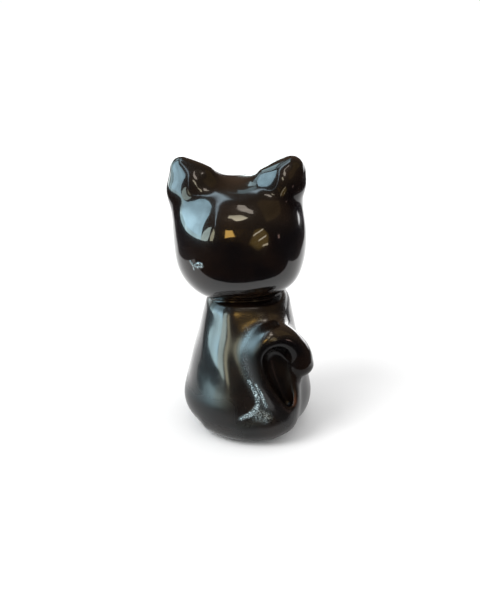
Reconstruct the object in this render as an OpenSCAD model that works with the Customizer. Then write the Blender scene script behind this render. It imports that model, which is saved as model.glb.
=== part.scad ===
// Ceramic cat figurine, seated, about 107 mm tall.
// The clay pieces it is built from are separate solids: a hollow bell-shaped body,
// a foot disc, a hollow head, ears, face details, legs and a tail that curls up the back.
// The cat faces -Y, its left side is +X, and it stands on the XY plane.

/* [Body] */
// Greatest width of the belly
body_w = 51; // [46:0.5:55]
// Width that the side line reaches at the neck
neck_w = 30.5; // [28:0.5:33]
// Height of the flat neck that carries the head
neck_z = 52.4; // [50:0.2:54]
// Radius of the rounded lower edge of the belly
belly_round = 13; // [10:0.5:15]
// Radius of the rounded shoulder edge at the neck
neck_round = 2.5; // [1.5:0.5:4]
// Thickness of the clay wall
wall = 4; // [3:0.5:5]
// Thickness of the foot disc
disc_t = 3.5; // [3:0.5:5]
// Width of the rim of the body around the foot disc
foot_rim = 2; // [1.5:0.5:3]

/* [Vent] */
// Diameter of the vent hole in the foot disc
vent_d = 3; // [2:0.5:3.5]
// Diameter of the air passage between the body and the head
passage_d = 3; // [2:0.5:3.5]
// Distance from the middle of the foot disc back to its vent
vent_y = 5; // [4:0.5:6]

/* [Head] */
// Width of the head
head_w = 49.2; // [46:0.2:52]
// Depth of the head from brow to nape
head_d = 45; // [42:0.5:48]
// Height of the widest line of the head
head_z = 74; // [73:0.2:75]
// Distance from the widest line up to the crown
crown_h = 23.6; // [22:0.2:25]
// Distance from the widest line down to the rounded underside
chin_h = 21.9; // [21.8:0.1:22.6]
// Sideways set of the head towards the cat's left
head_set = 2.9; // [0:0.1:3.5]
// Fullness of the head, where 2 is an ellipsoid
head_full = 2.5; // [2.2:0.1:3]

/* [Ears] */
// Distance between the two ear tips
ear_span = 42; // [39:0.5:44]
// Height of the ear tips
ear_z = 106.8; // [104:0.2:109]
// Radius of the root of the ear, inside the head
ear_root_r = 12.8; // [11.5:0.1:13]
// Thickness of the ear as a share of its width
ear_flat = 0.95; // [0.8:0.05:1]
// Distance that the left ear's tip leans towards the back
left_lean = 5; // [3:0.5:8]
// Distance that the right ear's tip leans towards the back
right_lean = 8; // [3:0.5:8]
// Sideways set of both ears from the middle of the head
ear_set = 1.6; // [0:0.1:2]

/* [Tail] */
// Greatest thickness of the luting slip under the tail
slip_t = 2.4; // [1.5:0.1:3]
// Number of sides of the tail's section
tail_sides = 20; // [12:4:28]

/* [Legs] */
// Distance between the middles of the forelegs
foreleg_gap = 13; // [11:0.5:14]
// Distance between the middles of the hind paws
hind_gap = 32; // [31:0.5:33]

/* [Face] */
// Distance between the middles of the eyes
eye_gap = 18; // [16:0.5:20]
// Width of an eye
eye_w = 7; // [5:0.5:8]
// Width of the muzzle
muzzle_w = 17; // [14:0.5:19]

/* [Hidden] */

glaze = "#2a1f1a";
slip_glaze = "#4a3324";
clay = "#8a6a50";

// Clearance that keeps a flat-sided piece off the curved one behind it
seat = 0.04;

// Body outline: a rounded belly edge that runs tangent into a straight, leaning side
foot_r = body_w / 2 - belly_round;
side_slope = (body_w / 2 - neck_w / 2) / (neck_z - belly_round);
side_lean = atan(side_slope);

// Middle of the head
head_c = [head_set, 0, head_z];

// Middle of the ear's root inside the head, and the powers that shape the ear's profile:
// fullness of its outer and inner edges, and roundness of its tip
ear_root = [10.6, -3.2, 83];
ear_outer_full = 2.1;
ear_inner_full = 2.7;
ear_tip_round = 0.64;

// Muzzle height, middle line and greatest depth
muzzle_h = muzzle_w * 0.62;
muzzle_z = head_z - 8;
muzzle_t = 3;

// Tail path from its root beside the foot, up the back, over and down to the tip:
// each entry is a centre point and the radius of the coil there
TAIL_PATH = [
    [4.5, 22, 5.6, 3.6], [-3.5, 22.5, 6.6, 5.2], [-9.8, 22, 9.4, 6.6], [-13, 22.6, 15.6, 5],
    [-10.6, 22.8, 21.6, 3.8], [-7, 22.3, 27.5, 3.5], [-4.5, 21, 33, 3.8], [-5.2, 19.6, 38.8, 4.6],
    [-9.8, 18.2, 41.6, 5], [-14, 16.9, 40.1, 5], [-17.4, 16, 37, 4.8], [-19.9, 16.2, 32.3, 4.6]];

// Slip patch under the tail: middle and half spread, as angle about the body and height
slip_turn = 28;
slip_turn_spread = 32;
slip_z = 25;
slip_z_spread = 23;

// Foreleg path from the shoulder to the toes: x counts outward from the toes' middle
FORELEG_PATH = [
    [-1.5, 13.5, 43, 3], [-0.5, 17.6, 33, 4.2], [0, 21, 22, 4.4], [0, 23.4, 12, 4.4],
    [0, 25.4, 6, 4.8], [0, 27.4, 4.7, 4.4]];
// Hind paw path from the heel to the toes, counted in the same way
HIND_PATH = [[1, 7, 7, 3.4], [1, 13, 6, 4.4], [0, 18.5, 5, 4.6], [-0.6, 21.5, 4.7, 4.4]];

// ---- curves and surfaces ----

// Radius of the body's side at height z
function body_r(z) =
    z < belly_round * (1 + sin(side_lean))
    ? foot_r + sqrt(max(0, belly_round * belly_round - pow(belly_round - z, 2)))
    : foot_r + belly_round / cos(side_lean) - side_slope * (z - belly_round);

// Thickness of the slip patch at a turn about the body, measured from the back, and a height
function slip_depth(turn, z) =
    slip_t * max(0, 1 - pow((turn - slip_turn) / slip_turn_spread, 2)
                      - pow((z - slip_z) / slip_z_spread, 2));

// Point above the floor, pushed out to the body or to the slip on it where it lies inside
function clear_slip(p) =
    let (z = max(0, p[2]),
         far = norm([p[0], p[1]]),
         limit = body_r(z) + seat + slip_depth(atan2(-p[0], p[1]), z))
    far < limit ? [p[0] * limit / far, p[1] * limit / far, z] : [p[0], p[1], z];

function in_body(p) = norm([p[0], p[1]]) < body_r(max(0, p[2])) + seat;

// Point of the body's skin beside p
function on_body(p) =
    let (z = max(0, p[2]),
         grow = (body_r(z) + seat) / norm([p[0], p[1]]))
    [p[0] * grow, p[1] * grow, z];

// Signed power, the root of every superellipse here
function spow(v, e) = sign(v) * pow(abs(v), e);

// Point of a rounded head skin: up is the latitude, turn the longitude, inset the depth below
function head_point(up, turn, inset = 0) =
    let (e = 2 / head_full,
         level = spow(cos(up), e),
         rise = sin(up) > 0 ? crown_h - inset : chin_h - inset)
    head_c + [(head_w / 2 - inset) * level * spow(cos(turn), e),
              (head_d / 2 - inset) * level * spow(sin(turn), e),
              rise * spow(sin(up), e)];

// 1 on the outer skin of the head, less inside it
function head_norm(p) =
    let (q = p - head_c,
         rise = q[2] > 0 ? crown_h : chin_h)
    pow(pow(abs(q[0]) / (head_w / 2), head_full) + pow(abs(q[1]) / (head_d / 2), head_full)
        + pow(abs(q[2]) / rise, head_full), 1 / head_full);

// Nearest skin point along the line from the middle of the head
function on_head(p, lift = 0) =
    let (q = p - head_c)
    head_c + q / head_norm(p) * (1 + lift / norm(q));

// Y of the face at a sideways distance x from the head's middle and a height z
function face_y(x, z) =
    let (dz = z - head_z,
         rise = dz > 0 ? crown_h : chin_h)
    -head_d / 2 * pow(max(0, 1 - pow(abs(x) / (head_w / 2), head_full)
                              - pow(abs(dz) / rise, head_full)), 1 / head_full);

// Smooth curve through a list of [x, y, z, radius] entries, with step points in each span
function smooth_path(path, step) =
    let (last = len(path) - 1)
    [for (i = [0 : last - 1], k = [0 : step - 1])
        let (t = k / step,
             a = path[max(0, i - 1)],
             b = path[i],
             c = path[i + 1],
             d = path[min(last, i + 2)])
        (2 * b + (c - a) * t + (2 * a - 5 * b + 4 * c - d) * t * t
         + (3 * b - a - 3 * c + d) * t * t * t) / 2,
     path[last]];

function xyz(p) = [p[0], p[1], p[2]];
function unit(v) = v / norm(v);
function side_of(p, side) = [side * p[0], p[1], p[2]];

// Ring of points about a path point; up is the outward direction that the ring keeps to
function ring(centre, ahead, radius, sides) =
    let (out = unit([centre[0], centre[1], 0]),
         right = unit(cross(ahead, out)),
         up = cross(right, ahead))
    [for (j = [0 : sides - 1])
        let (a = -360 * j / sides)
        centre + radius * (cos(a) * right + sin(a) * up)];

// Rings of a round-ended coil along a path
function coil_rings(path, sides) =
    let (last = len(path) - 1,
         start = unit(xyz(path[1] - path[0])),
         finish = unit(xyz(path[last] - path[last - 1])))
    concat(
        [for (a = [70, 40]) ring(xyz(path[0]) - start * path[0][3] * sin(a), start,
                                 path[0][3] * cos(a), sides)],
        [for (i = [0 : last])
            ring(xyz(path[i]), unit(xyz(path[min(last, i + 1)] - path[max(0, i - 1)])),
                 path[i][3], sides)],
        [for (a = [25, 50, 72]) ring(xyz(path[last]) + finish * path[last][3] * sin(a), finish,
                                     path[last][3] * cos(a), sides)]);

// ---- solids ----

// Closed skin over a list of rings with a point at each end
module skin(first, rings, last) {
    n = len(rings[0]);
    m = len(rings);
    points = concat([first], [for (r = rings) each r], [last]);
    start_fan = [for (j = [0 : n - 1]) [0, 1 + j, 1 + (j + 1) % n]];
    sides = [for (i = [0 : m - 2], j = [0 : n - 1])
        let (a = 1 + i * n + j,
             b = 1 + i * n + (j + 1) % n)
        each [[a, a + n, b], [b, a + n, b + n]]];
    end_fan = [for (j = [0 : n - 1])
        [n * m + 1, 1 + (m - 1) * n + (j + 1) % n, 1 + (m - 1) * n + j]];
    polyhedron(points = points, faces = concat(start_fan, sides, end_fan), convexity = 6);
}

function tip_of(path, i, j) = xyz(path[i]) + unit(xyz(path[i] - path[j])) * path[i][3];

// Coil of clay laid on the slip: its hidden side takes the shape of what is under it
module laid_coil(path, sides) {
    last = len(path) - 1;
    rings = [for (r = coil_rings(path, sides)) [for (p = r) clear_slip(p)]];
    skin(clear_slip(tip_of(path, 0, 1)), rings, clear_slip(tip_of(path, last, last - 1)));
}

// Coil of clay whose first end runs into the body: each line along it starts at the body's skin
module rooted_coil(path, sides, steps) {
    last = len(path) - 1;
    rings = coil_rings(path, sides);
    end = len(rings) - 1;
    function line(j, t) =
        let (i = min(floor(t), end - 1))
        rings[i][j] + (t - i) * (rings[i + 1][j] - rings[i][j]);
    function hidden(j, i) = i <= 0 || in_body(rings[i][j]) ? i : hidden(j, i - 1);
    function halve(j, lo, hi, n = 20) =
        n == 0 ? hi
        : in_body(line(j, (lo + hi) / 2))
          ? halve(j, (lo + hi) / 2, hi, n - 1) : halve(j, lo, (lo + hi) / 2, n - 1);
    starts = [for (j = [0 : sides - 1]) let (i = hidden(j, end)) halve(j, i, i + 1)];
    foot = [for (j = [0 : sides - 1]) on_body(line(j, starts[j]))];
    centre = on_body([for (k = [0 : 2]) [for (p = foot) p[k]] * [for (p = foot) 1 / sides]]);
    base = [for (share = [0.25, 0.5, 0.75])
        [for (p = foot) on_body(centre + (p - centre) * share)]];
    flanks = [for (k = [1 : steps])
        [for (j = [0 : sides - 1])
            let (p = line(j, starts[j] + (end - starts[j]) * k / steps))
            [p[0], p[1], max(0, p[2])]]];
    skin(centre, concat(base, [foot], flanks), tip_of(path, last, last - 1));
}

// Low domed pellet on the face: under and over give the depth of its two sides
module face_pellet(cx, cz, w, h, under, over, rings = 6, sides = 24) {
    e = 1 / rings;
    function spot(share, turn) = [cx + w / 2 * share * cos(turn), cz + h / 2 * share * sin(turn)];
    function place(s, depth) =
        on_head([head_set + s[0], face_y(s[0], s[1]), s[1]], seat + depth);
    function lens(share) = sqrt(max(0, 1 - share * share));
    back = [for (k = [1 : rings])
        [for (j = [0 : sides - 1])
            let (s = spot(k * e, 360 * j / sides))
            place(s, muzzle_depth(s) * under)]];
    front = [for (k = [rings - 1 : -1 : 1])
        [for (j = [0 : sides - 1])
            let (s = spot(k * e, 360 * j / sides))
            place(s, muzzle_depth(s) * under + over * lens(k * e))]];
    middle = [cx, cz];
    skin(place(middle, muzzle_depth(middle) * under), concat(back, front),
         place(middle, muzzle_depth(middle) * under + over));
}

// Depth of the muzzle at a spot of the face
function muzzle_depth(s) =
    muzzle_t * sqrt(max(0, 1 - pow(s[0] / (muzzle_w / 2), 2)
                              - pow((s[1] - muzzle_z) / (muzzle_h / 2), 2)));

module base_disc() {
    color(clay)
        difference() {
            cylinder(h = disc_t, r = foot_r - foot_rim, $fn = 96);
            translate([0, vent_y, -1])
                cylinder(h = disc_t + 2, d = vent_d, $fn = 48);
        }
}

module body_shell() {
    lean_step = (90 + side_lean) / 12;
    shoulder_step = (90 - side_lean) / 6;
    shoulder_z = neck_z - neck_round;
    shoulder_r = body_r(neck_z - neck_round + neck_round * sin(side_lean))
                 - neck_round * cos(side_lean);
    outside = concat(
        [for (k = [0 : 12]) [foot_r + belly_round * sin(k * lean_step),
                             belly_round - belly_round * cos(k * lean_step)]],
        [for (k = [0 : 6]) [shoulder_r + neck_round * cos(side_lean + k * shoulder_step),
                            shoulder_z + neck_round * sin(side_lean + k * shoulder_step)]]);
    inner_round = belly_round - wall;
    inner_lean = body_r(neck_z - wall) - wall / cos(side_lean);
    inside = concat(
        [[passage_d / 2, neck_z], [passage_d / 2, neck_z - wall], [inner_lean, neck_z - wall]],
        [for (k = [12 : -1 : 3]) [foot_r + inner_round * sin(k * lean_step),
                                  belly_round - inner_round * cos(k * lean_step)]],
        [[foot_r - foot_rim, disc_t + 2], [foot_r - foot_rim, 0]]);
    color(glaze)
        rotate_extrude($fn = 96)
            polygon(concat(outside, inside));
}

// Roll of slip in the crease between the body's flat neck and the head's underside
module neck_slip() {
    sides = 48;
    top_z = neck_z + 0.9;
    edge_r = body_r(neck_z) - neck_round;
    // Distance from the body's axis to the head's skin, found by halving
    function reach(turn, z, lo = 0, hi = 20, n = 24) =
        n == 0 ? (lo + hi) / 2
        : let (mid = (lo + hi) / 2)
          head_norm([mid * cos(turn), mid * sin(turn), z]) < 1
          ? reach(turn, z, mid, hi, n - 1) : reach(turn, z, lo, mid, n - 1);
    function at(turn, r, z) = [r * cos(turn), r * sin(turn), z];
    corners = [for (j = [0 : sides - 1])
        let (turn = 360 * j / sides)
        [at(turn, reach(turn, neck_z + 0.01) + seat, neck_z + 0.01),
         at(turn, edge_r, neck_z + 0.01),
         at(turn, max(edge_r + 0.6, reach(turn, top_z) + 0.4), top_z - 0.1),
         at(turn, reach(turn, top_z) + seat, top_z),
         at(turn, reach(turn, neck_z + 0.45) + seat, neck_z + 0.45)]];
    n = len(corners[0]);
    color(slip_glaze)
        polyhedron(
            points = [for (c = corners) each c],
            faces = [for (j = [0 : sides - 1], k = [0 : n - 1])
                let (a = j * n + k,
                     b = j * n + (k + 1) % n,
                     c = ((j + 1) % sides) * n + k,
                     d = ((j + 1) % sides) * n + (k + 1) % n)
                each [[a, b, c], [b, d, c]]],
            convexity = 6);
}

module head_shell() {
    sides = 56;
    cut_up = -asin(pow((head_z - neck_z) / chin_h, head_full / 2));
    outer_steps = 24;
    inner_steps = 12;
    inner_low = -72;
    function band(up, inset) =
        [for (j = [0 : sides - 1]) head_point(up, -360 * j / sides, inset)];
    function hole(z) =
        [for (j = [0 : sides - 1])
            [head_set + passage_d / 2 * cos(-360 * j / sides),
             passage_d / 2 * sin(-360 * j / sides), z]];
    outer = [for (k = [1 : outer_steps]) band(90 - (90 - cut_up) * k / outer_steps, 0)];
    inner = [for (k = [0 : inner_steps]) band(inner_low + (88 - inner_low) * k / inner_steps, wall)];
    color(glaze)
        skin(head_point(90, 0, 0),
             concat(outer, [hole(neck_z)], [hole(neck_z + wall * 0.8)], inner),
             head_point(90, 0, wall));
}

// Ear: a round-tipped cone, fuller on its inner side, that starts exactly where it leaves the head
module ear(side, lean) {
    sides = 28;
    steps = 13;
    middle = [head_set + ear_set, 0, 0];
    tip = [ear_span / 2, ear_root[1] + lean, ear_z];
    ahead = unit(tip - ear_root);
    across = unit([ahead[2], 0, -ahead[0]]);
    through = cross(ahead, across);
    function edge(turn, r) = r * cos(turn) * across + ear_flat * r * sin(turn) * through;
    function width(turn, t) =
        let (full = (ear_inner_full + ear_outer_full) / 2
                    - (ear_inner_full - ear_outer_full) / 2 * cos(turn))
        ear_root_r * pow(max(0, 1 - pow(t, full)), ear_tip_round);
    function place(p) = middle + side_of(p, side);
    function flank(turn, t) = place(ear_root + (tip - ear_root) * t + edge(turn, width(turn, t)));
    function leave(turn, lo = 0, hi = 1, n = 24) =
        n == 0 ? (lo + hi) / 2
        : let (mid = (lo + hi) / 2)
          head_norm(flank(turn, mid)) < 1
          ? leave(turn, mid, hi, n - 1) : leave(turn, lo, mid, n - 1);
    turns = [for (j = [0 : sides - 1]) side * 360 * j / sides];
    starts = [for (a = turns) leave(a)];
    foot = [for (j = [0 : sides - 1]) flank(turns[j], starts[j])];
    centre = on_head(place(ear_root + (tip - ear_root) * 0.5), seat);
    base = [for (k = [1 : 3])
        [for (p = foot) on_head(centre + (p - centre) * k / 4, seat)]];
    flanks = [for (k = [0 : steps])
        [for (j = [0 : sides - 1])
            let (t = starts[j] + (1 - starts[j]) * sin(90 * k / (steps + 1)),
                 p = flank(turns[j], t))
            k == 0 ? on_head(p, seat) : p]];
    color(glaze)
        skin(centre, concat(base, flanks), place(tip));
}

module left_ear() {
    ear(1, left_lean);
}

module right_ear() {
    ear(-1, right_lean);
}

module muzzle() {
    color(glaze)
        face_pellet(0, muzzle_z, muzzle_w, muzzle_h, 0, muzzle_t);
}

module nose() {
    color(glaze)
        face_pellet(0, muzzle_z + muzzle_h * 0.2, 5, 3.6, 1.02, 1.6, 4, 16);
}

module left_eye() {
    color(glaze)
        face_pellet(eye_gap / 2, head_z - 1, eye_w, eye_w * 1.1, 0, 1.5);
}

module right_eye() {
    color(glaze)
        face_pellet(-eye_gap / 2, head_z - 1, eye_w, eye_w * 1.1, 0, 1.5);
}

// Legs are laid out on the cat's left, towards +Y, then turned to the front
module leg(path, shift, side) {
    placed = [for (p = path) [side * (p[0] + shift), -p[1], p[2], p[3]]];
    color(glaze)
        rooted_coil(smooth_path(placed, 4), 20, 16);
}

module left_foreleg() {
    leg(FORELEG_PATH, foreleg_gap / 2, 1);
}

module right_foreleg() {
    leg(FORELEG_PATH, foreleg_gap / 2, -1);
}

module left_hind_paw() {
    leg(HIND_PATH, hind_gap / 2, 1);
}

module right_hind_paw() {
    leg(HIND_PATH, hind_gap / 2, -1);
}

// Patch of luting slip between the body's back and the tail
module tail_slip() {
    sides = 40;
    steps = 7;
    function at(share, turn, depth) =
        let (t = slip_turn + slip_turn_spread * share * cos(turn),
             z = slip_z + slip_z_spread * share * sin(turn),
             r = body_r(z) + seat + depth * slip_depth(t, z))
        [-r * sin(t), r * cos(t), z];
    under = [for (k = [1 : steps])
        [for (j = [0 : sides - 1]) at(k / steps, 360 * j / sides, 0)]];
    over = [for (k = [steps - 1 : -1 : 1])
        [for (j = [0 : sides - 1]) at(k / steps, 360 * j / sides, 1)]];
    color(slip_glaze)
        skin(at(0, 0, 0), concat(under, over), at(0, 0, 1));
}

module tail() {
    color(glaze)
        laid_coil(smooth_path(TAIL_PATH, 4), tail_sides);
}

base_disc();
body_shell();
neck_slip();
head_shell();
left_ear();
right_ear();
muzzle();
nose();
left_eye();
right_eye();
left_foreleg();
right_foreleg();
left_hind_paw();
right_hind_paw();
tail_slip();
tail();
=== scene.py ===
"""Looks of a glazed ceramic cat figurine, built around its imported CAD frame.

The clay forms are signed distance fields that melt into each other as clay under glaze does.
Their common skin is meshed once, then parted into one closed piece for each clay part.
"""
import math

import bpy
import numpy as np
import openvdb
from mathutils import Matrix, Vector

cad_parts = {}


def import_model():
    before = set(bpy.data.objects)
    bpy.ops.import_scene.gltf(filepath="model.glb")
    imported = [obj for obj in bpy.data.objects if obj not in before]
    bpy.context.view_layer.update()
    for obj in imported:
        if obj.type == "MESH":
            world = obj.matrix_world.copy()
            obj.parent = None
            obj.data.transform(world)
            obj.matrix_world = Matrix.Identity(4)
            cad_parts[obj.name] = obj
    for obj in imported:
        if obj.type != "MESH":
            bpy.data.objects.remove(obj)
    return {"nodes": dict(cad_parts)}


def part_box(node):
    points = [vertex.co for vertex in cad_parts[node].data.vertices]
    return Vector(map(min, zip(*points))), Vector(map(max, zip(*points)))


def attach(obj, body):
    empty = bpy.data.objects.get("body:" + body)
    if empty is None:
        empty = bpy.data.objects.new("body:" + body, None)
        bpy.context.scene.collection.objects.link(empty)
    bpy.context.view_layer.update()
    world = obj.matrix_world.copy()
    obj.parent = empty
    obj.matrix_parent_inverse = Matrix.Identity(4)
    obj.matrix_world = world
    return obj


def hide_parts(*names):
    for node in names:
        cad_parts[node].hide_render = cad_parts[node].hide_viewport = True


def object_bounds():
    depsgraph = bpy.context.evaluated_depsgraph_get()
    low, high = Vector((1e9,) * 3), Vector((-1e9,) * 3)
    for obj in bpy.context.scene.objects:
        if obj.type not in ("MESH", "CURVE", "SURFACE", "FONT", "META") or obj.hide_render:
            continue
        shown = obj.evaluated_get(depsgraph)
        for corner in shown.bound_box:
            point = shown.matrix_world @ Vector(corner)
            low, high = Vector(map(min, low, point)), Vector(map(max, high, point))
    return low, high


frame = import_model()
cad_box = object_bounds()

MM = 0.001


def box_mm(node):
    """Lowest and highest corner of a CAD node, in millimetres."""
    low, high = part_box(node)
    return np.array(low) / MM, np.array(high) / MM


# ---------------------------------------------------------------- sizes, in millimetres

BODY_HIGH = box_mm("body_shell")[1]
DISC_HIGH = box_mm("base_disc")[1]
HEAD_LOW, HEAD_HIGH = box_mm("head_shell")
LEFT_EAR_HIGH = box_mm("left_ear")[1]
RIGHT_EAR_LOW = box_mm("right_ear")[0]
EYE_LOW, EYE_HIGH = box_mm("left_eye")
MUZZLE_LOW, MUZZLE_HIGH = box_mm("muzzle")
NOSE_LOW, NOSE_HIGH = box_mm("nose")

# Foot disc, and the gap kept between it and the skin
DISC_R = DISC_HIGH[0]
DISC_T = DISC_HIGH[2]
DISC_GAP = 0.05

# Body: its foot, its belly a little inside the CAD's, and the neck that its side leans in to
FOOT_R = DISC_R + 2
BELLY_R = BODY_HIGH[0] - 0.15
BELLY_ROUND = BELLY_R - FOOT_R
NECK_Z = BODY_HIGH[2]
NECK_R = 15.25
SIDE_SLOPE = (BELLY_R - NECK_R) / (NECK_Z - BELLY_ROUND)
# Top of the body and the roundness of its shoulder, which leaves a groove under the head
BODY_TOP = NECK_Z + 1.5
SHOULDER_ROUND = 6
# Powers of its plan, from nearly round at the foot to squarer at SQUARE_Z and above
FOOT_FULL = 2.1
BODY_FULL = 2.45
SQUARE_Z = 26

# Head: the height of its widest level, its half sizes and the power of its outline
HEAD_Z = 74.0
HEAD_MIDDLE = np.array([(HEAD_LOW[0] + HEAD_HIGH[0]) / 2, 0, HEAD_Z])
HEAD_HALF_W = (HEAD_HIGH[0] - HEAD_LOW[0]) / 2
HEAD_HALF_D = (HEAD_HIGH[1] - HEAD_LOW[1]) / 2
CROWN_H = HEAD_HIGH[2] - HEAD_Z
CHIN_H = HEAD_Z - NECK_Z + 0.3
HEAD_FULL = 2.5
# Millimetres that one unit of the head's field stands for, and the share kept of the ears'
HEAD_SCALE = 22
EAR_SCALE = 0.85

EAR_MIDDLE_X = (LEFT_EAR_HIGH[0] + RIGHT_EAR_LOW[0]) / 2
EAR_MIDDLE_Y = -1.0
# Each ear: a ball at its root, one half way, one at its tip and one at its inner shoulder,
# then how thick it is from front to back, and the fillets to the head and at the shoulder
LEFT_EAR = dict(root=(8.6, -1.3, 82.1, 12.65), half_way=(15.8, 3.0, 94.2, 9.8),
                tip=(20.1, 2.9, 102, 3.8), shoulder=(11.4, 6, 99.3, 3.9),
                thick=0.89, fillet=8.4, shoulder_fillet=1.5)
RIGHT_EAR = dict(root=(10, -5.5, 82.1, 10.6), half_way=(17.3, 4.3, 96.8, 8.3),
                 tip=(20.1, 4.9, 101.8, 4.15), shoulder=(10.7, 6, 99.8, 3),
                 thick=1.09, fillet=8.9, shoulder_fillet=4.4)

# Tail: middles and radii of the clay coil, root first, of the wall that closes its hook,
# and of the hollow pressed into the clay between them
TAIL_BOWL = [(14, 16.5, 5, 1.8), (9, 20, 5, 2.6), (4.1, 21.8, 5.4, 3.5), (-2.3, 22.6, 6.6, 4.8),
             (-8, 21.9, 8, 6), (-12.4, 20.9, 10.4, 5.9)]
TAIL_HOOK = [(-12.4, 20.9, 10.4, 5.9), (-11.5, 22.6, 16.2, 3.6), (-9, 22.6, 21, 3),
             (-6.2, 22.2, 26.1, 2.8), (-4.1, 21.2, 31.4, 3.1), (-3.8, 20, 36.4, 4.2),
             (-6.2, 19.2, 40.4, 4.9), (-9.8, 18.2, 41.6, 5.1), (-13.8, 16.9, 40.2, 5),
             (-17.2, 16, 37.3, 4.8), (-19.3, 15.9, 34.2, 4.6), (-20.1, 16.5, 30.4, 4.6)]
TAIL_WALL = [(-12.4, 20.9, 10.4, 5.9), (-15.3, 21, 15.7, 3.5), (-16.1, 19.8, 19.3, 2.6),
             (-16.5, 18.4, 22.8, 2.2), (-17.6, 17.2, 26.5, 2.4)]
TAIL_HOLLOW = [(-10.6, 23.4, 34.2, 5.2), (-11.8, 23.6, 29, 4.6), (-13.8, 22.8, 22.5, 3.1),
               (-15, 22.2, 17.2, 1.8)]
# Parts of the hook: its shoulder, its whole arch, and the end of the arch, which is bright
TAIL_SHOULDER = TAIL_HOOK[3:7]
TAIL_ARCH = TAIL_HOOK[6:]
TAIL_END = TAIL_HOOK[8:]

# Lines of the pitted crease beside the tail and its patch, painted with glints and a bluish sheen, then
# a haze of painted reflection along the coil
SCAR = [(-0.3, 23.2, 26.4, 0.05), (-2.2, 24.1, 23.1, 0.15), (-3.7, 24.7, 19.3, 0.3),
        (-3.0, 25.3, 15.8, 0.4), (-0.4, 25.8, 13.6, 0.3), (3.0, 25.6, 11.8, 0.1)]
SCAR_SIDE = [(-2.9, 24.5, 25.3, 0.05), (-5.2, 25.1, 21.1, 0.15), (-6.7, 25.4, 17.1, 0.1)]
SCAR_PATCH = [(-3.4, 25.9, 14.1, 1.2), (-6.3, 26.5, 13.1, 1.2)]
SHEEN_HAZE = [(-0.3, 18.0, 44.7, 0.8), (1.2, 21.0, 38.0, 1), (0.4, 22.5, 29.7, 1),
             (-3.0, 24.4, 22.4, 1), (-6.0, 25.3, 16.2, 1)]
# Curl of blistered glaze low on the left of the head
CURL_STEM = [(21.0, 17.1, 71.1, 0.02), (20.1, 17.8, 69.9, 0.02), (19.7, 17.9, 68.3, 0.02)]
CURL_LOOP = [(19.2, 18.4, 69.4, 0.02), (18.8, 18.8, 70.5, 0.02), (17.0, 20.0, 71.0, 0.02),
             (16.6, 20.1, 70.1, 0.02), (18.8, 18.7, 69.2, 0.02)]

# Legs on the cat's left, from the shoulder or haunch to the toes; the right ones mirror them
FORELEG = [(5.2, -14.5, 41, 3.2), (6, -18, 32, 4.2), (6.5, -21, 22, 4.4), (6.5, -23.4, 12, 4.4),
           (6.5, -25.4, 5.6, 4.9), (6.5, -27.2, 4.6, 4.3)]
HIND_PAW = [(18, -8.5, 6, 3.4), (17.2, -14, 5.4, 4.4), (16, -19, 4.9, 4.5), (15.4, -21.3, 4.6, 4.3)]

# Fillets between clay parts
TAIL_FILLET = 8
HOLLOW_FILLET = 3
LEG_FILLET = 3
NECK_FILLET = 1.2
FACE_FILLET = 1.5

TAIL_WALL_FILLET = 2

# Fine sampling step, fine steps in a coarse one, and the thickness of the pieces
MESH_STEP = 0.55
COARSE = 4
SKIN_T = 1.1
FACE_SKIN_T = 0.45
# Reach of the differences that give the field's slope, and the longest move in one push
SLOPE_STEP = 0.05
LONGEST_PUSH = 0.3


# ---------------------------------------------------------------- distance fields

def smooth_min(a, b, k):
    """Union of two fields with a fillet about k wide."""
    h = np.clip(k - np.abs(a - b), 0, None) / k
    return np.minimum(a, b) - h * h * h * k / 6


def smooth_max(a, b, k):
    return -smooth_min(-a, -b, k)


def round_cone(p, a, b, ra, rb):
    """Distance to the hull of two balls."""
    ba = b - a
    length2 = ba @ ba
    dr = ra - rb
    a2 = length2 - dr * dr
    inverse = 1 / length2
    pa = p - a
    y = pa @ ba
    z = y - length2
    side = pa * length2 - y[..., None] * ba
    x2 = (side * side).sum(-1)
    y2 = y * y * length2
    z2 = z * z * length2
    k = np.sign(dr) * dr * dr * x2
    far_end = np.sqrt(x2 + z2) * inverse - rb
    near_end = np.sqrt(x2 + y2) * inverse - ra
    flank = (np.sqrt(x2 * a2 * inverse) + y * dr) * inverse - ra
    return np.where(np.sign(z) * a2 * z2 > k, far_end,
                    np.where(np.sign(y) * a2 * y2 < k, near_end, flank))


def smooth_path(points, steps):
    """Catmull-Rom curve through (x, y, z, radius) points."""
    p = np.array(points, float)
    p = np.vstack([2 * p[0] - p[1], p, 2 * p[-1] - p[-2]])
    out = []
    for i in range(1, len(p) - 2):
        a, b, c, d = p[i - 1:i + 3]
        for t in np.linspace(0, 1, steps, endpoint=False):
            out.append((2 * b + (c - a) * t + (2 * a - 5 * b + 4 * c - d) * t * t
                        + (3 * b - a - 3 * c + d) * t ** 3) / 2)
    out.append(p[-2])
    return out


def coil(p, points, steps=4):
    """Distance to a coil of clay along a path."""
    path = smooth_path(points, steps)
    low = np.min([q[:3] - q[3] for q in path], axis=0)
    high = np.max([q[:3] + q[3] for q in path], axis=0)
    outside = np.linalg.norm(np.maximum(np.maximum(low - p, p - high), 0), axis=-1)
    d = outside + 4.0
    near = outside < 10
    if near.any():
        q = p[near]
        best = np.full(len(q), 1e9)
        for a, b in zip(path[:-1], path[1:]):
            best = np.minimum(best, round_cone(q, a[:3], b[:3], a[3], b[3]))
        d[near] = best
    return d


def ellipsoid(p, middle, half):
    q = p - np.array(middle)
    half = np.array(half, float)
    k0 = np.linalg.norm(q / half, axis=-1)
    k1 = np.linalg.norm(q / (half * half), axis=-1)
    return k0 * (k0 - 1) / np.maximum(k1, 1e-9)


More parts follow.
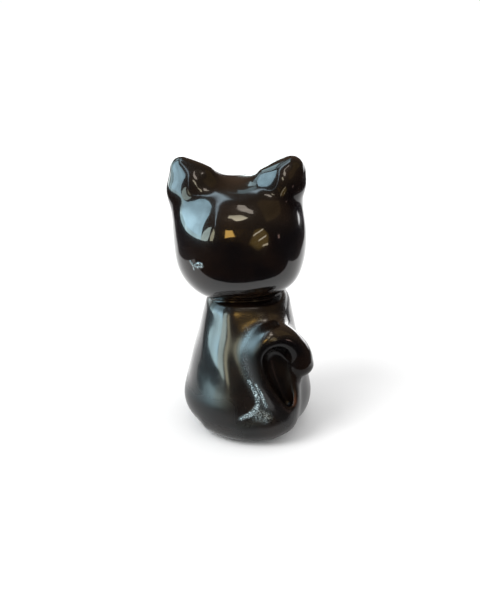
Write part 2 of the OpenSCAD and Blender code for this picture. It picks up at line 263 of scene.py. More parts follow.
def body_field(p):
    """Bell-shaped body, a little square in plan: a leaning side above a rounded belly edge."""
    z = p[:, 2]
    rise = np.clip(z / SQUARE_Z, 0, 1)
    full = FOOT_FULL + (BODY_FULL - FOOT_FULL) * rise * rise * (3 - 2 * rise)
    r = (np.abs(p[:, 0]) ** full + np.abs(p[:, 1]) ** full) ** (1 / full)
    lean = math.hypot(1, SIDE_SLOPE)
    inner_r = BELLY_R - BELLY_ROUND
    along = ((r - inner_r) * -SIDE_SLOPE + (z - BELLY_ROUND)) / lean
    off = ((r - inner_r) + (z - BELLY_ROUND) * SIDE_SLOPE) / lean
    corner = np.hypot(np.maximum(r - inner_r, 0), np.minimum(z - BELLY_ROUND, 0))
    below = np.where(r > inner_r, corner, BELLY_ROUND - z)
    side = np.where(along > 0, off, np.where(z < BELLY_ROUND, below,
                    np.hypot(r - inner_r, z - BELLY_ROUND)))
    return smooth_max(side - BELLY_ROUND, z - BODY_TOP, SHOULDER_ROUND)


def head_field(p):
    """Rounded block with a high crown and a shallow chin."""
    q = p - HEAD_MIDDLE
    rise = np.where(q[:, 2] > 0, CROWN_H, CHIN_H)
    n = HEAD_FULL
    s = ((np.abs(q[:, 0]) / HEAD_HALF_W) ** n + (np.abs(q[:, 1]) / HEAD_HALF_D) ** n
         + (np.abs(q[:, 2]) / rise) ** n) ** (1 / n)
    return (s - 1) * HEAD_SCALE


def ear_field(p, side):
    """Ear: a thick round-tipped cone with a lower shoulder on its inner side."""
    ear = LEFT_EAR if side > 0 else RIGHT_EAR
    q = (p - np.array([EAR_MIDDLE_X, EAR_MIDDLE_Y, 0])) * np.array([side, 1 / ear["thick"], 1])
    root, half_way, tip, shoulder = (np.array(ear[ball], float)
                                     for ball in ("root", "half_way", "tip", "shoulder"))

    def cone(a, b):
        return round_cone(q, a[:3], b[:3], a[3], b[3])

    outer = np.minimum(cone(root, half_way), cone(half_way, tip))
    inner = np.minimum(cone(root, shoulder), cone(shoulder, tip))
    return smooth_min(outer, inner, ear["shoulder_fillet"]) * EAR_SCALE


def tail_field(p):
    strand = np.minimum(coil(p, TAIL_BOWL), coil(p, TAIL_HOOK))
    return smooth_min(strand, coil(p, TAIL_WALL), TAIL_WALL_FILLET)


# How far the muzzle, the nose and the eyes reach back into the head
MUZZLE_DEPTH = 5
NOSE_SINK = 0.6
EYE_SINK = 0.7
EYE_EXTRA = 0.6


def muzzle_field(p):
    middle = (MUZZLE_LOW + MUZZLE_HIGH) / 2
    half = (MUZZLE_HIGH - MUZZLE_LOW) / 2
    return ellipsoid(p, (middle[0], MUZZLE_LOW[1] + MUZZLE_DEPTH, middle[2]),
                     (half[0], MUZZLE_DEPTH, half[2]))


def nose_field(p):
    middle = (NOSE_LOW + NOSE_HIGH) / 2
    half = (NOSE_HIGH - NOSE_LOW) / 2
    return ellipsoid(p, (middle[0], middle[1] + NOSE_SINK, middle[2]),
                     (half[0], half[1] + NOSE_SINK, half[2]))


def eye_field(p, side):
    middle = (EYE_LOW + EYE_HIGH) / 2
    half = (EYE_HIGH - EYE_LOW) / 2
    q = p.copy()
    q[:, 0] = HEAD_MIDDLE[0] + (p[:, 0] - HEAD_MIDDLE[0]) * side
    return ellipsoid(q, (middle[0], middle[1] + EYE_SINK, middle[2]),
                     (half[0], half[1] + EYE_EXTRA, half[2]))


def mirrored(p):
    return p * np.array([-1, 1, 1])


PARTS = {
    "body": body_field,
    "head": head_field,
    "left_ear": lambda p: ear_field(p, 1),
    "right_ear": lambda p: ear_field(p, -1),
    "tail": tail_field,
    "left_foreleg": lambda p: coil(p, FORELEG),
    "right_foreleg": lambda p: coil(mirrored(p), FORELEG),
    "left_hind_paw": lambda p: coil(p, HIND_PAW),
    "right_hind_paw": lambda p: coil(mirrored(p), HIND_PAW),
    "muzzle": muzzle_field,
    "nose": nose_field,
    "left_eye": lambda p: eye_field(p, 1),
    "right_eye": lambda p: eye_field(p, -1),
}
LEGS = ("left_foreleg", "right_foreleg", "left_hind_paw", "right_hind_paw")
FACE = ("muzzle", "nose", "left_eye", "right_eye")

# Hand-made unevenness: size in millimetres, then wave numbers per millimetre and a phase
WOBBLE = [(0.10, (0.21, 0.05, 0.13), 0.4), (0.09, (-0.08, 0.19, 0.17), 1.9),
          (0.08, (0.16, -0.23, 0.06), 3.1), (0.06, (0.31, 0.22, -0.26), 5.0),
          (0.05, (-0.35, 0.12, 0.33), 2.2)]
# Height at which it has its full size; the foot itself is flat
WOBBLE_Z = 8


def wobble(p):
    return sum(size * np.sin(p @ np.array(wave) + phase) for size, wave, phase in WOBBLE)


def field(p, parts=False):
    """The whole figurine as one field, and if asked each clay part's own."""
    own = {name: f(p) for name, f in PARTS.items()}
    head = smooth_min(own["head"], own["left_ear"], LEFT_EAR["fillet"])
    head = smooth_min(head, own["right_ear"], RIGHT_EAR["fillet"])
    for name in FACE:
        head = smooth_min(head, own[name], FACE_FILLET)
    body = smooth_min(own["body"], own["tail"], TAIL_FILLET)
    body = smooth_max(body, -coil(p, TAIL_HOLLOW), HOLLOW_FILLET)
    for name in LEGS:
        body = smooth_min(body, own[name], LEG_FILLET)
    total = smooth_min(head, body, NECK_FILLET) + wobble(p) * np.clip(p[:, 2] / WOBBLE_Z, 0, 1)
    total = np.maximum(total, -p[:, 2])
    r = np.hypot(p[:, 0], p[:, 1])
    total = np.maximum(total, -np.maximum(r - DISC_R - DISC_GAP, p[:, 2] - DISC_T - DISC_GAP))
    return (total, own) if parts else total


def gradient(p, e):
    step = np.eye(3) * e
    return np.stack([field(p + step[i]) - field(p - step[i]) for i in range(3)], -1) / (2 * e)


# ---------------------------------------------------------------- skin

def onto_skin(points, pushes):
    """Pushes points along the field's slope until they lie on the skin."""
    for _ in range(pushes):
        g = gradient(points, SLOPE_STEP)
        move = g * (field(points) / np.maximum((g * g).sum(-1), 0.2))[:, None]
        points = points - np.clip(move, -LONGEST_PUSH, LONGEST_PUSH)
    return points


def mesh_skin():
    """Vertices and faces of the figurine's skin, by way of a narrow band of samples."""
    low = np.array(cad_box[0]) / MM - 3
    high = np.array(cad_box[1]) / MM + 3
    coarse_step = MESH_STEP * COARSE
    count = np.ceil((high - low) / coarse_step).astype(int)
    grid = np.indices(count).reshape(3, -1).T
    middles = low + (grid + 0.5 - 0.5 / COARSE) * coarse_step
    d = field(middles)
    values = np.repeat(np.repeat(np.repeat(d.reshape(count), COARSE, 0), COARSE, 1), COARSE, 2)
    near = grid[np.abs(d) < coarse_step * 1.3]
    fine = np.indices((COARSE,) * 3).reshape(3, -1).T
    index = (near[:, None] * COARSE + fine[None]).reshape(-1, 3)
    values[tuple(index.T)] = field(low + index * MESH_STEP)
    volume = openvdb.FloatGrid(coarse_step)
    volume.copyFromArray(np.ascontiguousarray(values, np.float32))
    points, tris, quads = volume.convertToPolygons(0.0, 0.0)
    points = low + points.astype(float) * MESH_STEP
    points = onto_skin(points, 4)
    if len(tris):
        quads = np.vstack([quads, np.column_stack([tris, tris[:, 2]])])
    return points, quads.astype(int)


def neighbours(quads):
    """For each face, the face on the far side of each of its four edges."""
    n = len(quads)
    edges = np.stack([quads, np.roll(quads, -1, axis=1)], -1).reshape(-1, 2)
    edges.sort(axis=1)
    order = np.lexsort((edges[:, 1], edges[:, 0]))
    first, second = order[0::2], order[1::2]
    other = np.empty(4 * n, int)
    other[first], other[second] = second // 4, first // 4
    return other.reshape(n, 4), edges.reshape(n, 4, 2)


def most_common(rows):
    """The commonest value in each row."""
    counts = (rows[:, :, None] == rows[:, None, :]).sum(2)
    return rows[np.arange(len(rows)), counts.argmax(1)]


def small_islands(label, near, least):
    """Faces in patches of one label that have fewer than least faces."""
    group = np.arange(len(label))
    same = label[near] == label[:, None]
    while True:
        lower = np.minimum(group, np.where(same, group[near], len(label)).min(1))
        lower = lower[lower]
        if (lower == group).all():
            break
        group = lower
    size = np.bincount(group, minlength=len(label))
    return size[group] < least


def clean_labels(label, near, quads, vertex_count):
    """Smooths the seams and clears islands and spots where a patch meets itself at a corner."""
    for _ in range(12):
        around = label[near]
        lonely = (around == label[:, None]).sum(1) <= 1
        label = np.where(lonely, most_common(around), label)
    for _ in range(40):
        lost = small_islands(label, near, 80)
        if not lost.any():
            break
        around = label[near]
        outside = np.where(lost[near], -1, around)
        best = outside.max(1)
        label = np.where(lost & (best >= 0), best, label)
    for _ in range(60):
        corner = quads.ravel()
        face = np.repeat(np.arange(len(quads)), 4)
        differs = label[near] != label[:, None]
        changes = np.zeros(vertex_count)
        # Each edge is seen from both of its faces, so every change counts twice a half
        for k in range(4):
            for end in (quads[:, k], quads[:, (k + 1) % 4]):
                np.add.at(changes, end, differs[:, k] * 0.5)
        pair = np.unique(np.column_stack([corner, label[face]]), axis=0)
        kinds = np.bincount(pair[:, 0], minlength=vertex_count)
        tied = (kinds > 1) & (changes > kinds)
        if not tied.any():
            break
        touched = np.unique(face[tied[corner]])
        label[touched] = most_common(np.column_stack([label[near[touched]], label[touched]]))
    return label


# How far the slip spreads to each side of the creases by the tail and the neck
SLIP_SPREAD = 2.2
NECK_SLIP_SPREAD = 0.8


def face_labels(points, quads, near):
    """The clay part that each face of the skin belongs to, with slip in the creases."""
    _, own = field(points[quads].mean(1), parts=True)
    names = list(own) + ["tail_slip", "neck_slip"]
    label = np.argmin(np.stack([own[n] for n in own], -1), -1)
    in_crease = np.abs(own["tail"] - own["body"]) < SLIP_SPREAD
    label[in_crease] = names.index("tail_slip")
    in_crease = np.abs(own["head"] - own["body"]) < NECK_SLIP_SPREAD
    label[in_crease] = names.index("neck_slip")
    return clean_labels(label, near, quads, len(points)), names


def relax_seams(points, label, near, edges):
    """Draws the seams between the pieces into smooth lines."""
    differs = label[near] != label[:, None]
    seam = np.unique(edges[differs], axis=0)
    degree = np.bincount(seam.ravel(), minlength=len(points))
    inner = degree == 2
    for _ in range(8):
        total = np.zeros_like(points)
        np.add.at(total, seam[:, 0], points[seam[:, 1]])
        np.add.at(total, seam[:, 1], points[seam[:, 0]])
        points[inner] = points[inner] * 0.5 + total[inner] * 0.25
    points[inner] = onto_skin(points[inner], 3)
    return points


def smooth_normals(points, quads, times):
    """The field's slope at each vertex, averaged over its neighbours a few times."""
    normals = gradient(points, 0.3)
    normals /= np.linalg.norm(normals, axis=-1, keepdims=True)
    for _ in range(times):
        middle = normals[quads].sum(1)
        total = np.zeros_like(normals)
        for k in range(4):
            np.add.at(total, quads[:, k], middle)
        normals = total / np.linalg.norm(total, axis=-1, keepdims=True)
    return normals


def piece_mesh(name, points, normals, faces, thickness):
    """Closed mesh from a patch of skin: the skin, an inner side below it and a rim between them."""
    used, local = np.unique(faces, return_inverse=True)
    local = local.reshape(-1, 4)
    n = len(used)
    edges = np.stack([local, np.roll(local, -1, axis=1)], -1).reshape(-1, 2)
    code = edges[:, 0].astype(np.int64) * n + edges[:, 1]
    back = edges[:, 1].astype(np.int64) * n + edges[:, 0]
    rim = edges[~np.isin(code, back)]
    rim_faces = np.column_stack([rim[:, 1], rim[:, 0], rim[:, 0] + n, rim[:, 1] + n])
    all_faces = np.vstack([local, local[:, ::-1] + n, rim_faces])
    outer = points[used]
    inner = outer - normals[used] * thickness
    mesh = bpy.data.meshes.new(name)
    mesh.from_pydata((np.vstack([outer, inner]) * MM).tolist(), [], all_faces.tolist())
    mesh.shade_smooth()
    both = np.vstack([normals[used], -normals[used]])
    mesh.normals_split_custom_set_from_vertices(both.tolist())
    return mesh, used


# Piece name, the CAD nodes it stands for and the record's material slot
PIECES = {
    "body": ("body_skin", "body_shell", "body_glaze"),
    "head": ("head_skin", "head_shell", "head_glaze"),
    "left_ear": ("left_ear_skin", "left_ear", "ear_glaze"),
    "right_ear": ("right_ear_skin", "right_ear", "ear_glaze"),
    "tail": ("tail_skin", "tail", "tail_glaze"),
    "left_foreleg": ("left_foreleg_skin", "left_foreleg", "leg_glaze"),
    "right_foreleg": ("right_foreleg_skin", "right_foreleg", "leg_glaze"),
    "left_hind_paw": ("left_hind_paw_skin", "left_hind_paw", "leg_glaze"),
    "right_hind_paw": ("right_hind_paw_skin", "right_hind_paw", "leg_glaze"),
    "muzzle": ("muzzle_skin", "muzzle", "face_glaze"),
    "nose": ("nose_skin", "nose", "face_glaze"),
    "left_eye": ("left_eye_skin", "left_eye", "face_glaze"),
    "right_eye": ("right_eye_skin", "right_eye", "face_glaze"),
    "tail_slip": ("tail_crease", "tail_slip", "slip_glaze"),
    "neck_slip": ("neck_crease", "neck_slip", "slip_glaze"),
}


def curvature(points, reach):
    """Sum of the skin's two curvatures, per millimetre: high on narrow edges, low in creases."""
    step = np.eye(3) * reach
    total = -6 * field(points)
    for s in step:
        total += field(points + s) + field(points - s)
    return total / reach ** 2


# Shares of the pitted look, with its painted sheen and glints, in the patch beside the tail, in the haze
# of painted reflection and in the curl
PATCH_SHARE = 0.26
SHEEN_HAZE_SHARE = 0.14
CURL_SHARE = 0.8


def fade(value, none, full):
    """0 where the value is at none, rising to 1 where it is at full."""
    return np.clip((value - none) / (full - none), 0, 1)


def satin_share(points):
    """1 where the glaze is satin, on the body, and 0 where it is bright, on the head and tail end."""
    below_neck = fade(points[:, 2], NECK_Z + 1, NECK_Z - 1)
    return below_neck * fade(coil(points, TAIL_END), 0, 3)


def scar_and_sheen_share(points):
    """1 where the glaze has crawled into pits, painted with glints and a bluish sheen: beside the tail,
    in a haze of painted reflection along the coil, and in a curl on the head.
    """
    lines = fade(np.minimum(coil(points, SCAR), coil(points, SCAR_SIDE)), 0.7, 0)
    patch = fade(coil(points, SCAR_PATCH), 2.4, 0) * PATCH_SHARE
    haze = fade(coil(points, SHEEN_HAZE), 2.2, 0) * SHEEN_HAZE_SHARE
    curl = fade(np.minimum(coil(points, CURL_STEM), coil(points, CURL_LOOP)), 0.42, 0)
    return np.maximum.reduce([lines, patch, haze, np.minimum(curl, CURL_SHARE)])


def hollow_share(points, normals):
    """1 where painted shade weakens the glaze's reflection: inside the tail's hook, under its arch,
    round the neck.
    """
    z, up = points[:, 2], normals[:, 2]
    hollow = fade(coil(points, TAIL_HOLLOW), 2.24, 0.64)
    under = fade(coil(points, TAIL_ARCH), 3.96, 2.16) * fade(up, 1 / 4, -1 / 12)
    neck = fade(z, NECK_Z - 3, NECK_Z - 1) * fade(up, 0, 1 / 3) * (z < NECK_Z + 4)
    return np.maximum.reduce([hollow, under, neck])


def dull_share(points):
    """How far the glaze has dulled on the foot, the back, the tail's shoulder and the ears."""
    x, y, z = points.T
    left = fade(x, 0, 6)
    bright_rim = left * fade(z, 9, 4)
    belly = np.minimum(fade(z, 23, 15), 0.85) * left
    foot = np.maximum(fade(z, 28, 0), belly) * (1 - bright_rim)
    back = fade(np.abs(x + 1), 11.7, 2.7) * satin_share(points) * (y > 0) * 0.5
    right = fade(x, -15, -18) * np.minimum(fade(z, 32, 26), 0.8)
    shoulder = fade(coil(points, TAIL_SHOULDER), 3, 1) * fade(x, -6.5, -3.5)
    ears = np.minimum(fade(z, 86, 91), 0.7)
    return np.maximum.reduce([foot, back, right, shoulder, ears])


def add_attribute(mesh, name, values):
    """One value for each vertex of the outer side, and the same for the inner side below it."""
    both = np.concatenate([values, values]).astype(np.float32)
    mesh.attributes.new(name, "FLOAT", "POINT").data.foreach_set("value", both)


# Reach of the curvature that finds the narrow edges
EDGE_REACH = 1.2


def build_pieces(finish_of):
    """Meshes the skin, parts it and makes each patch a piece on the root body."""
    points, quads = mesh_skin()
    near, edges = neighbours(quads)
    label, names = face_labels(points, quads, near)
    points = relax_seams(points, label, near, edges)
    normals = smooth_normals(points, quads, 3)
    # The crawled crease's look also carries painted glints, a painted bluish sheen and a haze of painted
    # reflection
    # The look inside the hook, under the arch and round the neck is painted shade
    looks = {"edge": curvature(points, EDGE_REACH), "satin": satin_share(points),
             "scar_and_sheen": scar_and_sheen_share(points), "hollow": hollow_share(points, normals),
             "dull": dull_share(points)}
    for part, (piece_name, node, slot) in PIECES.items():
        faces = quads[label == names.index(part)]
        thickness = FACE_SKIN_T if part in FACE else SKIN_T
        mesh, used = piece_mesh(piece_name, points, normals, faces, thickness)
        for look, values in looks.items():
            add_attribute(mesh, look, values[used])
        mesh.materials.append(finish_of[slot])
        piece = bpy.data.objects.new(piece_name, mesh)
        bpy.context.scene.collection.objects.link(piece)
        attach(piece, "root")
        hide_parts(node)


# ---------------------------------------------------------------- materials

def new_material(name):
    material = bpy.data.materials.new(name)
    material.use_nodes = True
    tree = material.node_tree
    return material, tree, tree.nodes["Principled BSDF"]


def node(tree, kind, **settings):
    """New shader node; inputs are set by name and links are made from sockets."""
    made = tree.nodes.new("ShaderNode" + kind)
    inputs = settings.pop("inputs", {})
    for key, value in settings.items():
        setattr(made, key, value)
    for key, value in inputs.items():
        if isinstance(value, bpy.types.NodeSocket):
            tree.links.new(value, made.inputs[key])
        else:
            made.inputs[key].default_value = value
    return made


def noise(tree, place, scale, detail=2.0, distortion=0.0):
    return node(tree, "TexNoise", inputs={
        "Vector": place, "Scale": scale, "Detail": detail, "Distortion": distortion}).outputs["Fac"]


def ramp(tree, value, low, high, to_low=0.0, to_high=1.0):
    return node(tree, "MapRange", interpolation_type="SMOOTHSTEP", inputs={
        "Value": value, "From Min": low, "From Max": high,
        "To Min": to_low, "To Max": to_high}).outputs["Result"]


def mix_colour(tree, share, a, b):
    made = node(tree, "Mix", data_type="RGBA", inputs={0: share})
    for socket, value in ((6, a), (7, b)):
        if isinstance(value, bpy.types.NodeSocket):
            tree.links.new(value, made.inputs[socket])
        else:
            made.inputs[socket].default_value = (*value, 1)
    return made.outputs[2]


def multiply(tree, a, b):
    return node(tree, "Math", operation="MULTIPLY", inputs={0: a, 1: b}).outputs[0]


def add(tree, a, b):
    return node(tree, "Math", operation="ADD", inputs={0: a, 1: b}).outputs[0]


def attribute(tree, name):
    return node(tree, "Attribute", attribute_name=name).outputs["Fac"]


# Glaze: refraction of its clear coat and of the layer below, then its colours
COAT_IOR = 1.52
UNDER_IOR = 1.2
BLACK_GLAZE = (0.0012, 0.0009, 0.0010)
BROWN_GLAZE = (0.006, 0.0028, 0.0014)
RUST_GLAZE = (0.05, 0.015, 0.005)
# Painted bluish sheen and painted pale glints, standing for reflections in the crawled glaze's pits
PAINTED_SCAR_SHEEN = (0.014, 0.026, 0.031)
PAINTED_SPECK_GLINT = (0.46, 0.58, 0.61)


def glaze(name):
    """Near-black glaze: bright on the head, satin on the body, rust on its narrowest edges.

    The coat gives the sharp reflection and the layer below it the faint haze around it.
    """
    material, tree, shader = new_material(name)
    place = node(tree, "TexCoord").outputs["Object"]
    edge, satin, scar_and_sheen, hollow, dull = (attribute(tree, look) for look in
                                       ("edge", "satin", "scar_and_sheen", "hollow", "dull"))
    # Colour: brown clouds in the black, rust on the edges, and where it has crawled a painted bluish
    # sheen with pale specks of painted glint
    cloud = noise(tree, place, 90, 3)
    thin = ramp(tree, add(tree, edge, multiply(tree, cloud, 0.3)), 0.75, 1.15)
    base = mix_colour(tree, ramp(tree, cloud, 0.35, 0.75), BLACK_GLAZE, BROWN_GLAZE)
    base = mix_colour(tree, thin, base, RUST_GLAZE)
    crawl = noise(tree, place, 2600, 3, 0.4)
    colour = mix_colour(tree, ramp(tree, scar_and_sheen, 0, 0.6), base, PAINTED_SCAR_SHEEN)
    pits_and_glints = multiply(tree, ramp(tree, scar_and_sheen, 0, 0.7), ramp(tree, crawl, 0.51, 0.6))
    colour = mix_colour(tree, pits_and_glints, colour, PAINTED_SPECK_GLINT)
    tree.links.new(colour, shader.inputs["Base Color"])
    # Coat: streaky and softer where satin, weaker where dull, and weaker as painted shade inside the
    # tail's hook, under its arch and round the neck
    grain = noise(tree, place, 600, 2)
    drawn = node(tree, "Mapping", inputs={"Vector": place, "Scale": (1, 1, 0.15)}).outputs[0]
    streak = noise(tree, drawn, 260, 2)
    sharp = ramp(tree, grain, 0.2, 0.9, 0.02, 0.05)
    soft = add(tree, ramp(tree, streak, 0.3, 0.7, 0.03, 0.08), multiply(tree, dull, 0.3))
    coat = add(tree, multiply(tree, satin, soft), sharp)
    tree.links.new(add(tree, coat, multiply(tree, pits_and_glints, 0.15)), shader.inputs["Coat Roughness"])
    weight = multiply(tree, ramp(tree, hollow, 0, 1, 1, 0.2), ramp(tree, dull, 0, 1, 1, 0.5))
    tree.links.new(weight, shader.inputs["Coat Weight"])
    shader.inputs["Coat IOR"].default_value = COAT_IOR
    tree.links.new(add(tree, multiply(tree, satin, 0.1), 0.24), shader.inputs["Roughness"])
    shader.inputs["IOR"].default_value = UNDER_IOR
    # Relief: broad ripples, pinholes, and the broken surface of the crawled glaze
    ripple = noise(tree, place, 160, 1)
    cells = node(tree, "TexVoronoi", inputs={"Vector": place, "Scale": 420}).outputs["Distance"]
    pit = ramp(tree, cells, 0.02, 0.09)
    height = add(tree, multiply(tree, ripple, 0.6), multiply(tree, pit, 0.04))
    fine = node(tree, "Bump", inputs={"Strength": 0.10, "Distance": 0.0006, "Height": height})
    rough = node(tree, "Bump", inputs={"Strength": 0.9, "Distance": 0.0005,
                                       "Height": multiply(tree, scar_and_sheen, crawl),
                                       "Normal": fine.outputs["Normal"]})
    tree.links.new(rough.outputs["Normal"], shader.inputs["Normal"])
    tree.links.new(rough.outputs["Normal"], shader.inputs["Coat Normal"])
    return material


def bare_clay():
    """Unglazed stoneware of the foot disc, clouded and grainy."""
    material, tree, shader = new_material("bare_clay")
    place = node(tree, "TexCoord").outputs["Object"]
    cloud = noise(tree, place, 400, 4)
    tree.links.new(mix_colour(tree, cloud, (0.36, 0.22, 0.14), (0.5, 0.34, 0.24)),
                   shader.inputs["Base Color"])
    shader.inputs["Roughness"].default_value = 0.85
    bump = node(tree, "Bump", inputs={"Strength": 0.4, "Distance": 0.0002,
                                      "Height": noise(tree, place, 2500, 3)})
    tree.links.new(bump.outputs["Normal"], shader.inputs["Normal"])
    return material


# ---------------------------------------------------------------- studio

# Camera: what it looks at, its rise above level and its distance
CAMERA_AIM = (3.0, 0.0, 50.0)
CAMERA_RISE = 20.0
CAMERA_FAR = 330.0
# Distances of the softboxes and of the lamps near the camera, and the middle they stand about
CARD_FAR = 2000.0
STUDIO_MIDDLE = (3.0, 0.0, 60.0)
LAMP_FAR = 150.0
# Spots on the back of the head that the lamp and the tubes near the camera are placed about
LAMP_SPOT = (6.0, 20.0, 80.0)
TUBE_SPOT = (-7.0, 20.0, 80.0)


def point_at(turn, rise, far, centre=STUDIO_MIDDLE):
    """Point seen from the object at a turn from +Y towards +X and a rise above level, in degrees."""
    a, e = math.radians(turn), math.radians(rise)
    return Vector(centre) + far * Vector((math.sin(a) * math.cos(e), math.cos(a) * math.cos(e),
                                          math.sin(e)))


def camera():
    data = bpy.data.cameras.new("camera")
    data.lens = 51.0
    data.sensor_width = 36.0
    data.clip_start = 0.01
    data.clip_end = 50
    cam = bpy.data.objects.new("camera", data)
    bpy.context.scene.collection.objects.link(cam)
    cam.location = point_at(0, CAMERA_RISE, CAMERA_FAR, CAMERA_AIM) * MM
    back = point_at(0, CAMERA_RISE, 1, (0, 0, 0))
    cam.rotation_mode = "QUATERNION"
    cam.rotation_quaternion = (-back).to_track_quat("-Z", "Y")
    bpy.context.scene.camera = cam


def stage_object(name, corners, faces, material):
    mesh = bpy.data.meshes.new(name)
    mesh.from_pydata([Vector(c) * MM for c in corners], [], faces)
    mesh.materials.append(material)
    obj = bpy.data.objects.new(name, mesh)
    bpy.context.scene.collection.objects.link(obj)
    return obj


def seen_in_gloss_only(obj):
    obj.visible_camera = False
    obj.visible_diffuse = False
    obj.visible_transmission = False
    obj.visible_volume_scatter = False
    obj.visible_shadow = False


def light_material(name, colour):
    """Steady light that fades to clear where the mesh's glow runs out, a little uneven across."""
    material = bpy.data.materials.new(name)
    material.use_nodes = True
    tree = material.node_tree
    tree.nodes.clear()
    cloud = noise(tree, node(tree, "TexCoord").outputs["Object"], 1.4, 2)
    light = node(tree, "Emission", inputs={"Color": (*colour, 1),
                                           "Strength": ramp(tree, cloud, 0.3, 0.7, 0.8, 1.2)})
    clear = node(tree, "BsdfTransparent")
    faded = node(tree, "MixShader", inputs={0: ramp(tree, attribute(tree, "glow"), 0, 1),
                                            1: clear.outputs[0], 2: light.outputs[0]})
    node(tree, "OutputMaterial", inputs={"Surface": faded.outputs[0]})
    return material


def rim_outside(corners, soft):
    """Corners of a rim soft degrees outside a polygon of (turn, rise)."""
    n = len(corners)
    area = sum(corners[i - 1][0] * corners[i][1] - corners[i][0] * corners[i - 1][1] for i in range(n))
    sign = 1 if area > 0 else -1
    rim = []
    for i, corner in enumerate(corners):
        before = (Vector(corner) - Vector(corners[i - 1])).normalized()
        after = (Vector(corners[(i + 1) % n]) - Vector(corner)).normalized()
        out = Vector((before.y + after.y, -before.x - after.x)).normalized() * sign
        rim.append(tuple(Vector(corner) + soft * out))
    return rim


def glowing(mesh, values):
    mesh.attributes.new("glow", "FLOAT", "POINT").data.foreach_set("value", values)


def card(name, colour, corners, soft, far=CARD_FAR, centre=STUDIO_MIDDLE):
    """Softbox seen in the glaze, with its corners as (turn, rise) and a rim soft degrees wide."""
    n = len(corners)
    points = [point_at(a, e, far, centre) for a, e in list(corners) + rim_outside(corners, soft)]
    faces = [tuple(range(n))] + [(i, (i + 1) % n, n + (i + 1) % n, n + i) for i in range(n)]
    obj = stage_object(name, points, faces, light_material(name, colour))
    glowing(obj.data, [1.0] * n + [0.0] * n)
    seen_in_gloss_only(obj)
    return obj


def arch_card(name, colour, path, width):
    """Long bowed softbox along a path of (turn, rise): bright on its line, clear at its last end."""
    rows = [[point_at(a, e + share * width, CARD_FAR) for a, e in path] for share in (0.5, 0, -0.5)]
    n = len(path)
    faces = [(r * n + i, r * n + i + 1, (r + 1) * n + i + 1, (r + 1) * n + i)
             for r in (0, 1) for i in range(n - 1)]
    obj = stage_object(name, sum(rows, []), faces, light_material(name, colour))
    glowing(obj.data, [0.0] * n + [1.0] * (n - 1) + [0.0] * (n + 1))
    seen_in_gloss_only(obj)
    return obj


# Softboxes: name, colour, corners as (turn, rise) and the width of the soft rim
CARDS = [
    ("window_main", (5.8, 8.8, 10.3), [(50, 3), (101, 4), (98, 20), (94, 38), (87, 50), (80, 62),
                                      (66, 59), (57, 52), (52, 44), (52, 22)], 2),
    ("window_low", (5.5, 7.8, 8.3), [(50, -1), (80, -1), (88, -6), (103, -7), (102, 3), (50, 3)], 2.5),
    ("window_far", (2.7, 3.9, 4.2), [(95, -5), (118, -5), (118, 34), (99, 38), (103, 20)], 5),
    ("window_dim", (1.9, 2.6, 2.9), [(100, 42), (120, 38), (120, 56), (90, 53)], 5),
    ("pane_side", (5.9, 7.2, 6.8), [(51, -6), (40, -7), (36, 5), (34, 21), (39, 19), (46, 10)], 1.2),
    ("pane_thin", (4.7, 4.5, 3.2), [(33, -6), (31, -6), (28, 3), (27, 12), (29, 19), (31, 12),
                                    (33, 3)], 0.8),
    ("below_window", (1.2, 1.6, 1.5), [(60, -12), (125, -12), (125, -8), (94, -8), (54, -8)], 3),
    ("lamp_high", (8.4, 7.4, 6.3), [(10, 74), (6, 62), (3, 55), (-3, 51), (-10, 50), (-12, 57),
                                    (-3, 63), (3, 72)], 2),
    ("lamp_mid", (8.6, 7.7, 5.7), [(10, 42), (6, 40), (2, 34), (0, 38), (4, 45), (10, 46)], 1.2),
    ("spot_side", (2.0, 1.3, 1.1), [(-52, -2), (-57, -1), (-57, 4), (-52, 3)], 1),
    ("spot_low", (3.4, 3.4, 3.4), [(-52, -12), (-54, -12), (-54, -10), (-52, -10)], 0.6),
    ("back_right", (4.5, 4.5, 4.5), [(-122, -6), (-165, -6), (-165, 8), (-122, 8)], 6),
    ("back_left", (3.8, 4.3, 4.3), [(128, -4), (175, -4), (175, 8), (128, 10)], 6),
    ("sky_left", (1.9, 2.5, 2.7), [(100, 66), (150, 64), (175, 58), (175, 64), (150, 72), (100, 70)], 4),
    ("sky_low", (3.6, 4.9, 5.3), [(94, 52), (140, 44), (150, 54), (104, 60)], 5),
    ("glow_right", (0.6, 0.4, 0.2), [(-38, 34), (-88, 30), (-88, 70), (-38, 72)], 12),
]
# Lamps near the camera: they show in the back of the head and pass over the body
NEAR_CARDS = [
    ("lamp_orange", (11.0, 6.6, 1.7), [(12, 5), (1, 9), (3, 19), (10, 19)], 2),
    ("tube_a", (8.4, 7.4, 5.6), [(-7, 6), (-20, 15), (-20, 17), (-7, 8)], 0.4),
    ("tube_b", (8.4, 7.4, 5.6), [(-14, -2.5), (-25, 2.5), (-25, 4.5), (-14, -0.5)], 0.4),
    ("tube_c", (7.3, 6.3, 4.5), [(-21, -9.5), (-29, -10), (-29, -8), (-21, -8)], 0.4),
    ("tube_glow", (1.3, 0.85, 0.25), [(-8, -1), (-18, -8), (-27, -8), (-26, 5), (-19, 15),
                                         (-9, 13)], 5),
]
# Long bowed strip of sky over the head
UPPER_STRIP = [(27, 25), (29, 38), (35, 52), (45, 61), (60, 70), (75, 76), (95, 79), (120, 80),
               (138, 78), (168, 73)]
UPPER_STRIP_W = 14
# The glow round the tubes stands this much farther off than they do
GLOW_FARTHER = 1.05


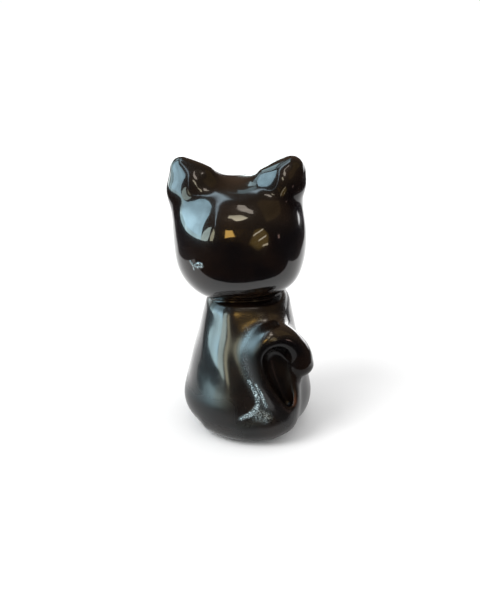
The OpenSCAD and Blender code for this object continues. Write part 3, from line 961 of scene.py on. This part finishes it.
def world():
    """White for the camera, soft light for the floor, and a dim warm room in the glaze."""
    made = bpy.data.worlds.new("studio")
    bpy.context.scene.world = made
    made.use_nodes = True
    tree = made.node_tree
    tree.nodes.clear()
    path = node(tree, "LightPath")
    direction = node(tree, "TexCoord").outputs["Generated"]
    up = node(tree, "SeparateXYZ", inputs={"Vector": direction}).outputs["Z"]
    room = mix_colour(tree, ramp(tree, up, -0.1, 0.95), (0.05, 0.035, 0.035), (0.36, 0.24, 0.15))
    white = node(tree, "Background", inputs={"Color": (1, 1, 1, 1), "Strength": 1.02})
    soft = node(tree, "Background", inputs={"Color": (1, 1, 1, 1), "Strength": 1.15})
    dim = node(tree, "Background", inputs={"Color": room, "Strength": 1.0})
    lit = node(tree, "MixShader", inputs={0: path.outputs["Is Camera Ray"], 1: soft.outputs[0],
                                          2: white.outputs[0]})
    all_rays = node(tree, "MixShader", inputs={0: path.outputs["Is Glossy Ray"], 1: lit.outputs[0],
                                               2: dim.outputs[0]})
    node(tree, "OutputWorld", inputs={"Surface": all_rays.outputs[0]})


def sun():
    """Broad soft key light that casts the shadow but does not show in the glaze."""
    data = bpy.data.lights.new("key", "SUN")
    data.energy = 1.7
    data.angle = math.radians(32)
    lamp = bpy.data.objects.new("key", data)
    bpy.context.scene.collection.objects.link(lamp)
    toward = point_at(53, 46, 1, (0, 0, 0))
    lamp.rotation_mode = "QUATERNION"
    lamp.rotation_quaternion = (-toward).to_track_quat("-Z", "Y")
    lamp.visible_glossy = False


def rectangle(name, x0, x1, y0, y1, z, material):
    return stage_object(name, [(x0, y0, z), (x1, y0, z), (x1, y1, z), (x0, y1, z)], [(0, 1, 2, 3)],
                        material)


def floor_material():
    """Plain matt white."""
    material, tree, shader = new_material("floor")
    shader.inputs["Base Color"].default_value = (0.8, 0.8, 0.8, 1)
    shader.inputs["Roughness"].default_value = 1.0
    shader.inputs["Specular IOR Level"].default_value = 0.0
    return material


# Half width of the floor, and the edges of the pale table top that shows in the glaze
FLOOR_HALF = 6000.0
TABLE_FRONT = 64.0
TABLE_LEFT = 200.0
TABLE_RIGHT = 220.0


# Drops and lifts that keep the floor and the flags clear of the foot
FLOOR_Z = -0.02
FLAG_Z = 0.3


def floor():
    """Pale floor, with dark flags beyond the table's edges that only the glaze sees."""
    rectangle("floor", -FLOOR_HALF, FLOOR_HALF, -FLOOR_HALF, FLOOR_HALF, FLOOR_Z,
              floor_material())
    dark = light_material("flag", (0.04, 0.03, 0.035))
    for name, x0, x1, y0, y1 in (
            ("flag_front", -FLOOR_HALF, FLOOR_HALF, TABLE_FRONT, FLOOR_HALF),
            ("flag_left", TABLE_LEFT, FLOOR_HALF, -FLOOR_HALF, TABLE_FRONT),
            ("flag_right", -FLOOR_HALF, -TABLE_RIGHT, -FLOOR_HALF, TABLE_FRONT)):
        flag = rectangle(name, x0, x1, y0, y1, FLAG_Z, dark)
        glowing(flag.data, [1.0] * 4)
        seen_in_gloss_only(flag)


def studio():
    bpy.context.scene.view_settings.view_transform = "Standard"
    camera()
    world()
    sun()
    floor()
    for name, colour, corners, soft in CARDS:
        card(name, colour, corners, soft)
    for name, colour, corners, soft in NEAR_CARDS:
        far = LAMP_FAR * (GLOW_FARTHER if name == "tube_glow" else 1)
        card(name, colour, corners, soft, far, LAMP_SPOT if name == "lamp_orange" else TUBE_SPOT)
    arch_card("window_top", (4.8, 6.1, 6.9), UPPER_STRIP, UPPER_STRIP_W)


shared = glaze("glaze")
finishes = {slot: shared for slot in ("body_glaze", "head_glaze", "ear_glaze", "tail_glaze",
                                      "leg_glaze", "face_glaze", "slip_glaze")}
build_pieces(finishes)
disc = frame["nodes"]["base_disc"].data
disc.materials.clear()
disc.materials.append(bare_clay())
studio()
